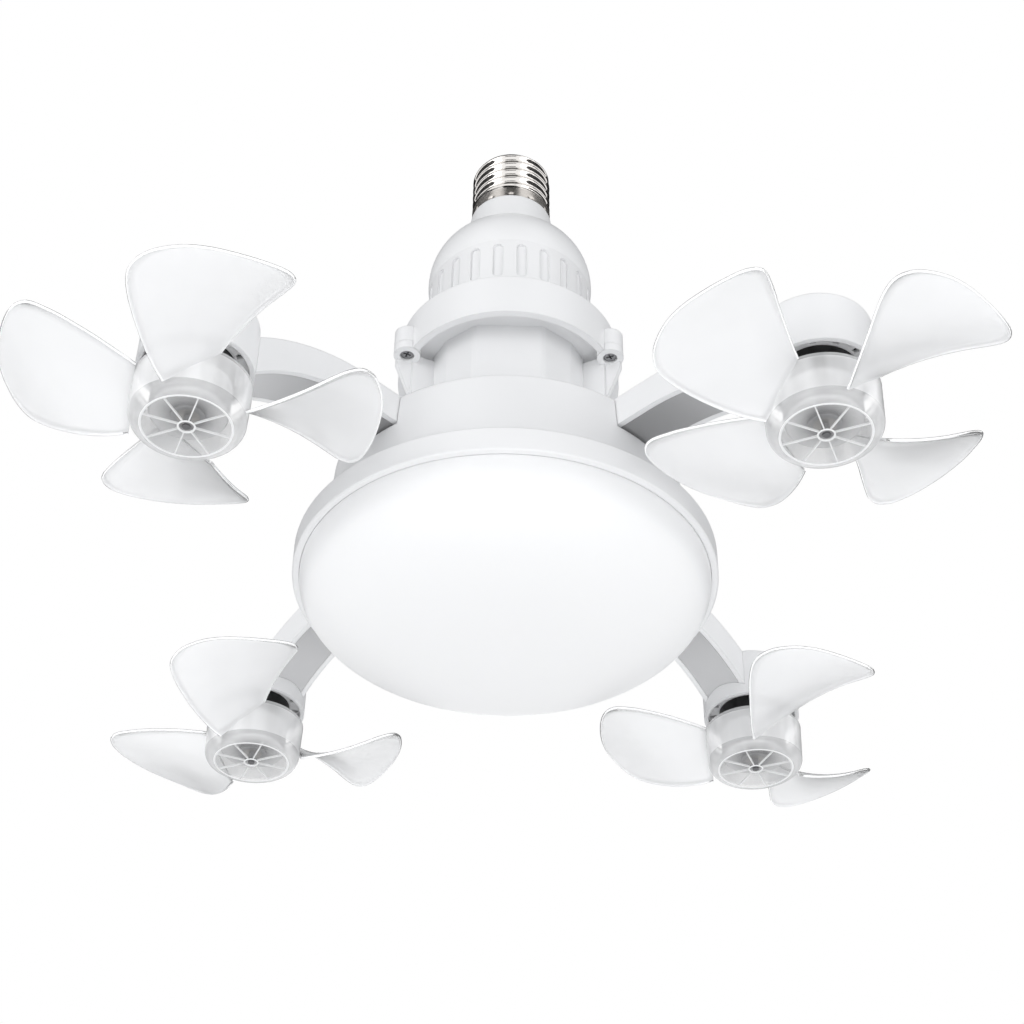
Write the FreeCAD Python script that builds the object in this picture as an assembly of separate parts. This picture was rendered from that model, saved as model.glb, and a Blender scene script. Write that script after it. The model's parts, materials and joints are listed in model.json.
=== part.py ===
"""A screw-in ceiling light with four small fans on folding arms.

Frame: millimetres, +Z up.  The origin is on the lamp's axis at the lower end of
the metal screw cap, so the cap stands above z = 0 and the lamp hangs below it.
The front of the lamp faces -Y.  The four arms point to the corners.
"""
import FreeCAD, Part
import math
import os

V = FreeCAD.Vector
Z_AXIS = V(0, 0, 1)
ORIGIN = V(0, 0, 0)

# ---- driving dimensions -------------------------------------------------------
# screw cap
CAP_SKIRT_R = 13.2
CAP_CREST_R = 13.15
CAP_ROOT_R = 12.1
CAP_BORE_R = 11.6
CAP_PITCH = 3.629
CAP_SKIRT_H = 5.6
CAP_H = 24.5
CAP_RIM_R = 9.6
CAP_RIM_T = 0.6
THREAD_BEAD_R = 1.25
INSULATOR_MID_R = 7.4
CONTACT_R = 4.8
CONTACT_TOP = 29.0

# neck housing: cone, dome with flutes
CONE_TOP_R = 13.5
CONE_FOOT_R = 15.4
CONE_H = 12.8
SPIGOT_R = 11.55
SPIGOT_BORE_R = 9.6
SPIGOT_TOP_Z = 14.0
DOME_MID = (23.7, -20.9)
DOME_INNER_MID = (22.0, -21.9)
DOME_R = 26.3
DOME_TOP_Z = -35.4
DOME_WALL = 2.0
DOME_FLANGE_T = 2.0
FLUTES = 22
FLUTE_W = 3.1
FLUTE_TOP_Z = -38.9
FLUTE_FOOT_Z = -50.0
FLUTE_DEPTH = 0.8

# clamp ring and its three screws
RING_R = 34.5
RING_TOP_Z = -60.0
RING_FOOT_Z = -75.5
RING_WALL = 2.4
RING_PLATE = 2.4
BOSS_R = 4.1
BOSS_PCD_R = 34.4
BOSS_TOP_Z = -66.5
BOSS_PARTING_Z = -72.5
BOSS_AZIMUTHS = (-155.0, -25.0, 90.0)
RING_GAP = 0.1
RING_EDGE = 1.0
RING_SCREW_R = 1.2
RING_SCREW_HEAD_R = 2.0
RING_SCREW_HEAD_H = 1.3
RING_SCREW_LENGTH = 5.0
RING_SCREW_SINK = 0.7
RECESS_L = 2.4
RECESS_W = 0.5
RECESS_DEPTH = 0.8

# faceted neck between the ring and the body
NECK_R = 24.8
NECK_BORE_R = 21.0
NECK_FLANGE_R = 31.8
NECK_FLANGE_TOP_Z = -68.2
NECK_FLANGE_FOOT_Z = -70.2
NECK_BASE_R = 33.5
NECK_BASE_H = 1.6
# corners of the tube, from the middle of each third of its round
FACET_ANGLES = (-27.0, -23.5, 23.5, 27.0, 50.0, 70.0)
LEG_INNER_R = 22.5
LEG_OUTER_R = 31.8
LEG_W = 3.4
GUSSET_T = 1.6
GUSSET_REACH_R = 36.6
GUSSET_NOSE_Z = -77.5
GUSSET_KNEE = (32.2, -88.0)
GUSSET_FOOT_Z = -92.0
# each leg and its gusset stand beside their boss, on the side away from the lamp's front
GUSSET_SIDES = (-3.2, 3.2, 3.2)

# round body, bezel and diffuser
BODY_TOP_R = 51.5
BODY_WAIST_R = 52.8
BODY_TOP_Z = -117.0
BODY_WAIST_Z = -136.0
BODY_FOOT_R = 55.0
BODY_FOOT_Z = -144.0
BODY_FLARE_MID = (53.5, -140.3)
BODY_EDGE = 1.2
BODY_WALL = 2.0
BODY_PLATE = 2.0
BODY_LEDGE_R = BODY_FOOT_R - 3.2
POST_PCD_R = 44.5
POST_R = 3.2
POST_PILOT_R = 1.25
POST_PILOT_DEPTH = 10.0
POST_AZIMUTHS = (0, 90, 180, 270)
CHASSIS_SCREW_R = 1.2
CHASSIS_SCREW_HEAD_R = 2.6
CHASSIS_SCREW_HEAD_H = 1.6
CHASSIS_SCREW_REACH = 8.0
BEZEL_R = 61.0
BEZEL_TOP_Z = -145.0
BEZEL_SHOULDER_MID = (58.4, -144.2)
BEZEL_LEDGE_T = 3.4
LIP_Z = -153.0
LIP_W = 2.0
DIFFUSER_GAP = 0.1
DIFFUSER_R = BEZEL_R - LIP_W - DIFFUSER_GAP
DIFFUSER_DEPTH = 18.0
DIFFUSER_WALL = 1.6
DIFFUSER_POWER = 2.3

# arm, its slot and hinge
ARM_W = 16.0
ARM_H = 10.0
ARM_TOP_Z = BODY_TOP_Z
ARM_STRAIGHT_R = 62.0
ARM_BEND_R = 68.0
ARM_WALL = 1.6
ARM_COVER_T = 1.5
PIVOT_R = 44.0
PIN_R = 1.5
PIN_CLEARANCE = 0.08
SLOT_SIDE_GAP = 0.25
SLOT_FLOOR_GAP = 0.9
SLOT_CHEEK = 2.0
SLOT_END_GAP = 0.6
ARM_COVER_GAP = 0.05
ARM_HOLLOW_FROM = 50.5
LEAD_SPACING = 2.4
LEAD_POINTS = ((50.7, -122.4), (63.0, -122.6), (79.0, -125.2), (96.6, -132.6))
ARM_AZIMUTHS = {"front_left": -135.0, "front_right": -45.0,
                "rear_left": 135.0, "rear_right": 45.0}

# motor housing, motor and impeller
FAN_R = 113.0
HOUSING_R = 15.2
HOUSING_TOP_Z = -128.0
HOUSING_RIM_Z = -144.5
HOUSING_WALL = 1.4
HOUSING_PLATE = 2.0
HOUSING_EDGE = 1.0
WEB_Z = -141.0
WEB_T = 1.2
WEB_VENTS = 12
VENT_L = 2.2
VENT_W = 1.6
LEAD_HOLE_R = 2.4
LEAD_HOLE_Z = -132.6
MOTOR_R = 10.2
MOTOR_TOP_Z = -130.5
MOTOR_FOOT_Z = -159.4
MOTOR_WALL = 0.8
MOTOR_TOP_PLATE = 1.2
MOTOR_FOOT_PLATE = 1.4
MOTOR_NOSE_R = 4.4
MOTOR_NOSE_H = 1.0
MAGNET_BORE_R = 7.0
MAGNET_SPLIT_W = 5.0
MAGNET_INSET = 4.0
ROTOR_R = 6.4
ROTOR_SLOT_W = 1.0
COMMUTATOR_R = 2.2
SHAFT_R = 1.0
SHAFT_CLEARANCE = 0.05
BEARING_R = 3.0
BEARING_H = 2.4
HUB_R = 15.3
HUB_FOOT_R = 14.9
HUB_TOP_Z = -149.3
HUB_FOOT_Z = -163.5
HUB_WALL = 1.2
HUB_FILLET = 3.0
HUB_BOSS_R = 2.3
HUB_BOSS_H = 2.6
HUB_RIBS = 8
HUB_RIB_END_R = 13.0
HUB_RIB_T = 0.8
HUB_RIB_H = 1.3
BLADE_T = 1.2
# how many blades each fan shows, and the azimuth of its first one
BLADES = {"front_left": (4, -171.0), "front_right": (4, -144.0),
          "rear_left": (3, -98.0), "rear_right": (3, -194.0)}
# radius of the section from the fan's axis, reach of its low and its high edge
# from the blade's centre line, pitch in degrees, height of the centre line
BLADE_SECTIONS = (
    (14.4, -6.4, 6.4, 42.0, -156.2),
    (19.9, -9.2, 9.6, 32.5, -155.3),
    (28.0, -12.8, 14.8, 20.5, -153.8),
    (36.0, -15.8, 20.3, 9.5, -152.0),
    (41.0, -16.0, 22.8, 4.0, -150.9),
    (44.5, -12.8, 20.6, 0.5, -150.1),
    (46.6, -8.0, 14.8, -1.5, -149.6),
    (47.9, -2.6, 7.2, -2.5, -149.3))

# light engine and driver
CHASSIS_R = 49.5
CHASSIS_Z = -141.5
CHASSIS_T = 1.5
CHASSIS_BORE_R = 6.0
BOARD_R = 46.0
BOARD_T = 1.2
BOARD_BORE_R = 5.0
BOARD_SCREW_PCD_R = 34.0
BOARD_SCREW_AZIMUTHS = (45, 165, 285)
BOARD_SCREW_R = 1.2
BOARD_SCREW_HEAD_R = 2.4
BOARD_SCREW_HEAD_H = 1.4
CHIP_RINGS = ((14.0, 8), (27.0, 16), (40.0, 24))
CHIP_SIZE = (3.5, 2.8, 0.8)
DRIVER_W = 34.0
DRIVER_TOP_Z = -46.0
DRIVER_FOOT_Z = -116.0
DRIVER_T = 1.6
CORE_W = 13.0
CORE_DEPTH = 11.0
CORE_YOKE = 4.0
CORE_FOOT_Z = -74.0
CORE_H = 17.0
COIL_R = 4.6
TALL_CAPACITOR = (5.0, 16.0, -6.0, -100.0)  # radius, height, x, foot
SMALL_CAPACITOR = (3.2, 11.0, 8.0, -96.0)
FILM_CAPACITOR = (12.0, 5.0, 9.0, -70.0)  # width, depth, height, foot
WIRE_R = 0.7


# ---- small helpers ------------------------------------------------------------
def polar(radius, azimuth, z=0.0):
    """A point from its radius, its azimuth in degrees and its height."""
    angle = math.radians(azimuth)
    return V(radius * math.cos(angle), radius * math.sin(angle), z)


def tube(outer, inner, z_low, z_high, centre=ORIGIN):
    """An upright tube, or a solid rod where the inner radius is 0."""
    base = V(centre.x, centre.y, z_low)
    solid = Part.makeCylinder(outer, z_high - z_low, base)
    if inner > 0:
        solid = solid.cut(Part.makeCylinder(inner, z_high - z_low + 2, base - V(0, 0, 1)))
    return solid


def turned(edges):
    """A solid of revolution about Z from edges that close in the XZ plane."""
    return Part.Face(Part.Wire(edges)).revolve(ORIGIN, Z_AXIS, 360)


def outline(points):
    """Straight edges through (radius, z) points, closed."""
    corners = [V(r, 0, z) for r, z in points]
    return [Part.LineSegment(a, b).toShape() for a, b in zip(corners, corners[1:] + corners[:1])]


def arc(start, middle, end):
    """An arc edge through three (radius, z) points."""
    return Part.Arc(*[V(r, 0, z) for r, z in (start, middle, end)]).toShape()


def line(start, end):
    """A straight edge between two (radius, z) points."""
    return Part.LineSegment(V(start[0], 0, start[1]), V(end[0], 0, end[1])).toShape()


def spun(shape, azimuth, about=ORIGIN):
    """A copy turned about a vertical line."""
    copy = shape.copy()
    copy.rotate(about, Z_AXIS, azimuth)
    return copy


def wire_run(points, radius):
    """A thin insulated wire along straight runs with small rounded corners."""
    path = [V(*p) for p in points]
    edges = []
    last = path[0]
    for before, corner, after in zip(path, path[1:], path[2:]):
        inward = (before - corner).normalize()
        outward = (after - corner).normalize()
        setback = min((before - corner).Length, (after - corner).Length) * 0.4
        start = corner + inward * setback
        end = corner + outward * setback
        bisector = (inward + outward).normalize()
        half = math.acos(max(-1, min(1, inward.dot(outward)))) / 2
        radius_here = setback * math.tan(half)
        middle = corner + bisector * (math.hypot(setback, radius_here) - radius_here)
        edges.append(Part.LineSegment(last, start).toShape())
        edges.append(Part.Arc(start, middle, end).toShape())
        last = end
    edges.append(Part.LineSegment(last, path[-1]).toShape())
    spine = Part.Wire(edges)
    section = Part.Wire(Part.Circle(path[0], path[1] - path[0], radius).toShape())
    return spine.makePipeShell([section], True, False)


def across(face, width):
    """A slab of the given width, centred on the XZ plane."""
    slab = face.extrude(V(0, width, 0))
    slab.translate(V(0, -width / 2, 0))
    return slab


def rounded_corner(radius, top, size):
    """The arc edge that rounds an outer top corner."""
    inset = size * (1 - math.sqrt(0.5))
    return arc((radius - size, top), (radius - inset, top - inset), (radius, top - size))


def cross_recess(centre, face_z, azimuth):
    """The cross cut into the underside of a screw head."""
    bar = Part.makeBox(RECESS_L, RECESS_W, RECESS_DEPTH, V(-RECESS_L / 2, -RECESS_W / 2, face_z - 0.01))
    cross = spun(bar, azimuth).fuse(spun(bar, azimuth + 90))
    cross.translate(centre)
    return cross


def save(name, *shapes):
    """Write one node: a single solid, or a group of separate ones."""
    shape = shapes[0] if len(shapes) == 1 else Part.makeCompound(list(shapes))
    if len(shapes) == 1 and len(shape.Solids) == 1:
        shape = shape.Solids[0]
    for solid in shape.Solids:
        if not solid.isValid() or solid.Volume <= 0:
            raise ValueError(name + " has a bad solid")
    shape.exportStep("parts/" + name + ".step")
    print(name, len(shape.Solids), "solid(s)", round(shape.Volume / 1000, 2), "cm3")


# ---- screw cap ----------------------------------------------------------------
def make_cap():
    """Rolled thread shell, the insulator on its top and the centre contact."""
    shell = turned(outline([
        (CAP_BORE_R, 0), (CAP_SKIRT_R, 0), (CAP_SKIRT_R, CAP_SKIRT_H - 0.7),
        (CAP_ROOT_R, CAP_SKIRT_H + 0.5), (CAP_ROOT_R, CAP_H - 2.2), (CAP_RIM_R, CAP_H),
        (CAP_RIM_R - CAP_RIM_T, CAP_H - 0.2), (CAP_BORE_R, CAP_H - 2.6)]))
    turns_h = CAP_H - CAP_SKIRT_H - 3.4
    helix = Part.makeHelix(CAP_PITCH, turns_h, CAP_CREST_R - THREAD_BEAD_R)
    start = V(CAP_CREST_R - THREAD_BEAD_R, 0, 0)
    section = Part.Wire(Part.Circle(start, V(0, 1, 0), THREAD_BEAD_R).toShape())
    bead = Part.Wire(helix.Edges).makePipeShell([section], True, True)
    bead.translate(V(0, 0, CAP_SKIRT_H + 0.9))
    shell = shell.fuse(bead.cut(tube(CAP_BORE_R + 0.1, 0, -1, CAP_H + 1)))
    save("cap_shell", shell)

    rim_in = CAP_RIM_R - CAP_RIM_T
    low = CAP_H - 1.6
    high = CAP_H + 2.4
    insulator = turned([
        line((0, low), (rim_in, low)),
        line((rim_in, low), (rim_in, CAP_H + 0.2)),
        arc((rim_in, CAP_H + 0.2), (INSULATOR_MID_R, CAP_H + 1.7), (CONTACT_R + 0.2, high)),
        line((CONTACT_R + 0.2, high), (0, high)),
        line((0, high), (0, low))])
    save("cap_insulator", insulator)

    rise = CONTACT_TOP - (CAP_H + 3.0)
    crown_r = (CONTACT_R ** 2 + rise ** 2) / (2 * rise)
    crown = Part.makeSphere(crown_r, V(0, 0, CONTACT_TOP - crown_r))
    contact = tube(CONTACT_R, 0, high, CONTACT_TOP + 1).common(crown)
    save("cap_contact", contact)


# ---- neck housing -------------------------------------------------------------
def make_neck_housing():
    """Plastic spigot in the cap, a short cone, and a dome with shallow flutes."""
    foot_in = DOME_R - DOME_WALL
    throat = (CONE_FOOT_R - 2.6, -CONE_H - 2.2)
    flange_top = RING_TOP_Z - RING_PLATE
    flange_foot = flange_top - DOME_FLANGE_T
    shell = turned([
        line((SPIGOT_R, SPIGOT_TOP_Z), (SPIGOT_R, 0)),
        line((SPIGOT_R, 0), (CONE_TOP_R, 0)),
        line((CONE_TOP_R, 0), (CONE_FOOT_R, -CONE_H)),
        arc((CONE_FOOT_R, -CONE_H), DOME_MID, (DOME_R, DOME_TOP_Z)),
        line((DOME_R, DOME_TOP_Z), (DOME_R, flange_top)),
        line((DOME_R, flange_top), (NECK_FLANGE_R, flange_top)),
        line((NECK_FLANGE_R, flange_top), (NECK_FLANGE_R, flange_foot)),
        line((NECK_FLANGE_R, flange_foot), (DOME_R, flange_foot)),
        line((DOME_R, flange_foot), (DOME_R, NECK_FLANGE_TOP_Z)),
        line((DOME_R, NECK_FLANGE_TOP_Z), (foot_in, NECK_FLANGE_TOP_Z)),
        line((foot_in, NECK_FLANGE_TOP_Z), (foot_in, DOME_TOP_Z)),
        arc((foot_in, DOME_TOP_Z), DOME_INNER_MID, throat),
        line(throat, (SPIGOT_BORE_R, -2.0)),
        line((SPIGOT_BORE_R, -2.0), (SPIGOT_BORE_R, SPIGOT_TOP_Z)),
        line((SPIGOT_BORE_R, SPIGOT_TOP_Z), (SPIGOT_R, SPIGOT_TOP_Z))])
    depth_r = DOME_R - FLUTE_DEPTH
    slot = Part.makeBox(8, FLUTE_W, FLUTE_TOP_Z - FLUTE_FOOT_Z, V(depth_r, -FLUTE_W / 2, FLUTE_FOOT_Z))
    for z in (FLUTE_TOP_Z, FLUTE_FOOT_Z):
        slot = slot.fuse(Part.makeCylinder(FLUTE_W / 2, 8, V(depth_r, 0, z), V(1, 0, 0)))
    step = 360.0 / FLUTES
    flutes = [spun(slot, -90 + (index + 0.5) * step) for index in range(FLUTES)]
    save("neck_housing", shell.cut(flutes))


# ---- clamp ring and its screws --------------------------------------------------
def make_clamp_ring():
    """Ring with a top plate and three screw bosses; it holds the dome's flange."""
    plate_foot = RING_TOP_Z - RING_PLATE
    hole_r = DOME_R + RING_GAP
    inner_r = RING_R - RING_WALL
    ring = turned([
        line((hole_r, plate_foot), (hole_r, RING_TOP_Z)),
        line((hole_r, RING_TOP_Z), (RING_R - RING_EDGE, RING_TOP_Z)),
        rounded_corner(RING_R, RING_TOP_Z, RING_EDGE),
        line((RING_R, RING_TOP_Z - RING_EDGE), (RING_R, RING_FOOT_Z)),
        line((RING_R, RING_FOOT_Z), (inner_r, RING_FOOT_Z)),
        line((inner_r, RING_FOOT_Z), (inner_r, plate_foot)),
        line((inner_r, plate_foot), (hole_r, plate_foot))])
    inner = tube(inner_r, 0, RING_FOOT_Z - 1, plate_foot)
    pilot_top = BOSS_PARTING_Z + RING_SCREW_LENGTH
    for azimuth in BOSS_AZIMUTHS:
        centre = polar(BOSS_PCD_R, azimuth)
        boss = tube(BOSS_R, 0, BOSS_PARTING_Z, BOSS_TOP_Z, centre).cut(inner)
        ring = ring.fuse(boss)
        ring = ring.cut(tube(BOSS_R + RING_GAP, 0, RING_FOOT_Z - 1, BOSS_PARTING_Z, centre))
        ring = ring.cut(tube(RING_SCREW_R + 0.02, 0, BOSS_PARTING_Z - 1, pilot_top, centre))
    save("clamp_ring", ring)

    screws = []
    for azimuth in BOSS_AZIMUTHS:
        centre = polar(BOSS_PCD_R, azimuth)
        head_z = RING_FOOT_Z + RING_SCREW_SINK
        seat_z = head_z + RING_SCREW_HEAD_H
        head = tube(RING_SCREW_HEAD_R, 0, head_z, seat_z, centre)
        shank = tube(RING_SCREW_R, 0, seat_z, pilot_top - 0.5, centre)
        screw = head.fuse(shank).cut(cross_recess(centre, head_z, azimuth))
        screws.append(screw.Solids[0])
    save("ring_screws", *screws)


# ---- faceted neck ---------------------------------------------------------------
def make_faceted_neck():
    """Faceted tube with a flange under the dome and three ribs that carry the ring's tabs."""
    corners = []
    for third in range(3):
        for angle in FACET_ANGLES:
            corners.append(polar(NECK_R, -90 + third * 120 + angle, BODY_TOP_Z))
    prism_h = NECK_FLANGE_FOOT_Z - BODY_TOP_Z
    prism = Part.Face(Part.makePolygon(corners + corners[:1])).extrude(V(0, 0, prism_h))
    neck = prism.fuse(tube(NECK_FLANGE_R, 0, NECK_FLANGE_FOOT_Z, NECK_FLANGE_TOP_Z))
    neck = neck.fuse(tube(NECK_BASE_R, 0, BODY_TOP_Z, BODY_TOP_Z + NECK_BASE_H))
    boss_axis = V(BOSS_PCD_R, 0, 0)
    leg = Part.makeBox(LEG_OUTER_R - LEG_INNER_R, LEG_W, BOSS_PARTING_Z - BODY_TOP_Z,
                       V(LEG_INNER_R, -LEG_W / 2, BODY_TOP_Z))
    tab = tube(BOSS_R, 0, RING_FOOT_Z, BOSS_PARTING_Z, boss_axis)
    root = LEG_OUTER_R - 1.8
    top = RING_FOOT_Z + 0.5
    fin = [(root, top), (GUSSET_REACH_R, top), (GUSSET_REACH_R, GUSSET_NOSE_Z), GUSSET_KNEE,
           (root, GUSSET_FOOT_Z)]
    stay = leg.fuse(across(Part.Face(Part.Wire(outline(fin))), GUSSET_T))
    bore = tube(RING_SCREW_R + 0.3, 0, RING_FOOT_Z - 1, BOSS_PARTING_Z + 1, boss_axis)
    seat_z = RING_FOOT_Z + RING_SCREW_SINK + RING_SCREW_HEAD_H
    sink = tube(RING_SCREW_HEAD_R + 0.2, 0, RING_FOOT_Z - 1, seat_z, boss_axis)
    for azimuth, side in zip(BOSS_AZIMUTHS, GUSSET_SIDES):
        beside = stay.copy()
        beside.translate(V(0, side, 0))
        pillar = tab.fuse(beside).cut(bore).cut(sink)
        neck = neck.fuse(spun(pillar, azimuth))
    neck = neck.cut(tube(NECK_BORE_R, 0, BODY_TOP_Z - 1, NECK_FLANGE_TOP_Z + 1))
    save("faceted_neck", neck.removeSplitter())


# ---- round body -----------------------------------------------------------------
def slot_block(extra, floor_extra, inner_extra, top_extra):
    """The arm's slot as a box, grown by the given amounts, at azimuth 0."""
    half = ARM_W / 2 + SLOT_SIDE_GAP + extra
    low = ARM_TOP_Z - ARM_H - SLOT_FLOOR_GAP - floor_extra
    inner = PIVOT_R - ARM_H / 2 - SLOT_END_GAP - inner_extra
    return Part.makeBox(60, 2 * half, BODY_TOP_Z + top_extra - low, V(inner, -half, low))


def make_body():
    """Shell with four slots whose cheeks carry the hinge pins, and its screws."""
    outer = turned([
        line((0, BODY_TOP_Z), (BODY_TOP_R - BODY_EDGE, BODY_TOP_Z)),
        rounded_corner(BODY_TOP_R, BODY_TOP_Z, BODY_EDGE),
        line((BODY_TOP_R, BODY_TOP_Z - BODY_EDGE), (BODY_WAIST_R, BODY_WAIST_Z)),
        arc((BODY_WAIST_R, BODY_WAIST_Z), BODY_FLARE_MID, (BODY_FOOT_R, BODY_FOOT_Z)),
        line((BODY_FOOT_R, BODY_FOOT_Z), (0, BODY_FOOT_Z)),
        line((0, BODY_FOOT_Z), (0, BODY_TOP_Z))])
    inner = turned(outline([
        (0, BODY_TOP_Z - BODY_PLATE), (BODY_TOP_R - BODY_WALL, BODY_TOP_Z - BODY_PLATE),
        (BODY_WAIST_R - BODY_WALL, BODY_WAIST_Z), (BODY_LEDGE_R, BODY_FOOT_Z - 1),
        (0, BODY_FOOT_Z - 1)]))
    shell = outer.cut(inner)
    cheek_zone = slot_block(SLOT_CHEEK, SLOT_CHEEK, SLOT_CHEEK, 0)
    channel = slot_block(0, 0, 0, 5)
    pin_hole = Part.makeCylinder(PIN_R, 40, V(PIVOT_R, -20, BODY_TOP_Z - ARM_H / 2), V(0, 1, 0))
    for azimuth in ARM_AZIMUTHS.values():
        pocket = spun(cheek_zone, azimuth).common(outer)
        shell = shell.fuse(pocket)
    for azimuth in ARM_AZIMUTHS.values():
        shell = shell.cut(spun(channel, azimuth))
        shell = shell.cut(spun(pin_hole, azimuth))
    shell = shell.cut(tube(NECK_BORE_R, 0, BODY_TOP_Z - 5, BODY_TOP_Z + 1))
    screws = []
    for azimuth in POST_AZIMUTHS:
        centre = polar(POST_PCD_R, azimuth)
        post = tube(POST_R, 0, CHASSIS_Z, BODY_TOP_Z - BODY_PLATE, centre)
        post = post.cut(tube(POST_PILOT_R, 0, CHASSIS_Z - 1, CHASSIS_Z + POST_PILOT_DEPTH, centre))
        shell = shell.fuse(post)
        foot = CHASSIS_Z - CHASSIS_T
        head = tube(CHASSIS_SCREW_HEAD_R, 0, foot - CHASSIS_SCREW_HEAD_H, foot, centre)
        shank = tube(CHASSIS_SCREW_R, 0, foot, CHASSIS_Z + CHASSIS_SCREW_REACH, centre)
        screw = head.fuse(shank).cut(cross_recess(centre, foot - CHASSIS_SCREW_HEAD_H, 0))
        screws.append(screw.Solids[0])
    save("body_shell", shell.removeSplitter())
    save("chassis_screws", *screws)


def make_bezel_and_diffuser():
    """Flared trim ring under the body and the milky cover that it holds."""
    ledge_z = BODY_FOOT_Z - BEZEL_LEDGE_T
    shoulder = (BODY_FOOT_R + 0.4, BODY_FOOT_Z)
    lip_in = BEZEL_R - LIP_W
    bezel = turned([
        line((BODY_LEDGE_R, BODY_FOOT_Z), shoulder),
        arc(shoulder, BEZEL_SHOULDER_MID, (BEZEL_R - 0.5, BEZEL_TOP_Z)),
        line((BEZEL_R - 0.5, BEZEL_TOP_Z), (BEZEL_R, BEZEL_TOP_Z - 0.6)),
        line((BEZEL_R, BEZEL_TOP_Z - 0.6), (BEZEL_R, LIP_Z + 0.4)),
        line((BEZEL_R, LIP_Z + 0.4), (BEZEL_R - 0.4, LIP_Z)),
        line((BEZEL_R - 0.4, LIP_Z), (lip_in, LIP_Z)),
        line((lip_in, LIP_Z), (lip_in, ledge_z)),
        line((lip_in, ledge_z), (BODY_LEDGE_R, ledge_z)),
        line((BODY_LEDGE_R, ledge_z), (BODY_LEDGE_R, BODY_FOOT_Z))])
    save("bezel_ring", bezel)

    def dome(radius, depth, steps=12):
        points = []
        for index in range(steps + 1):
            angle = math.radians(90.0 * index / steps)
            r = radius * math.cos(angle) ** (2 / DIFFUSER_POWER)
            z = LIP_Z - depth * math.sin(angle) ** (2 / DIFFUSER_POWER)
            points.append(V(r, 0, z))
        curve = Part.BSplineCurve()
        curve.interpolate(points)
        return curve.toShape(), points[0], points[-1]

    outside, rim_out, low_out = dome(DIFFUSER_R, DIFFUSER_DEPTH)
    inside, rim_in, low_in = dome(DIFFUSER_R - DIFFUSER_WALL, DIFFUSER_DEPTH - DIFFUSER_WALL)
    diffuser = turned([
        outside,
        Part.LineSegment(low_out, low_in).toShape(),
        inside,
        line((rim_in.x, LIP_Z), (rim_in.x, ledge_z)),
        line((rim_in.x, ledge_z), (rim_out.x, ledge_z)),
        line((rim_out.x, ledge_z), (rim_out.x, LIP_Z))])
    save("diffuser", diffuser)


# ---- light engine and driver ------------------------------------------------------
def make_light_engine():
    """Aluminium carrier, light board with its chips and screws."""
    board_top = CHASSIS_Z - CHASSIS_T
    board_foot = board_top - BOARD_T
    chassis = tube(CHASSIS_R, CHASSIS_BORE_R, board_top, CHASSIS_Z)
    board = tube(BOARD_R, BOARD_BORE_R, board_foot, board_top)
    for azimuth in POST_AZIMUTHS:
        centre = polar(POST_PCD_R, azimuth)
        chassis = chassis.cut(tube(CHASSIS_SCREW_R + 0.3, 0, board_top - 1, CHASSIS_Z + 1, centre))
        board = board.cut(tube(CHASSIS_SCREW_HEAD_R + 0.8, 0, board_foot - 1, board_top + 1, centre))
    screws = []
    for azimuth in BOARD_SCREW_AZIMUTHS:
        hole = polar(BOARD_SCREW_PCD_R, azimuth)
        board = board.cut(tube(BOARD_SCREW_R + 0.4, 0, board_foot - 1, board_top + 1, hole))
        chassis = chassis.cut(tube(BOARD_SCREW_R + 0.05, 0, board_top - 1, CHASSIS_Z + 1, hole))
        head = tube(BOARD_SCREW_HEAD_R, 0, board_foot - BOARD_SCREW_HEAD_H, board_foot, hole)
        shank = tube(BOARD_SCREW_R, 0, board_foot, CHASSIS_Z + CHASSIS_T, hole)
        screws.append(head.fuse(shank).cut(cross_recess(hole, board_foot - BOARD_SCREW_HEAD_H, azimuth)))
    save("chassis_plate", chassis)
    save("led_board", board)
    save("led_board_screws", *[screw.Solids[0] for screw in screws])
    length, width, height = CHIP_SIZE
    chips = []
    for radius, count in CHIP_RINGS:
        chip = Part.makeBox(length, width, height, V(radius - length / 2, -width / 2, board_foot - height))
        for index in range(count):
            chips.append(spun(chip, 360.0 * (index + 0.5) / count))
    save("led_chips", *chips)


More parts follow.
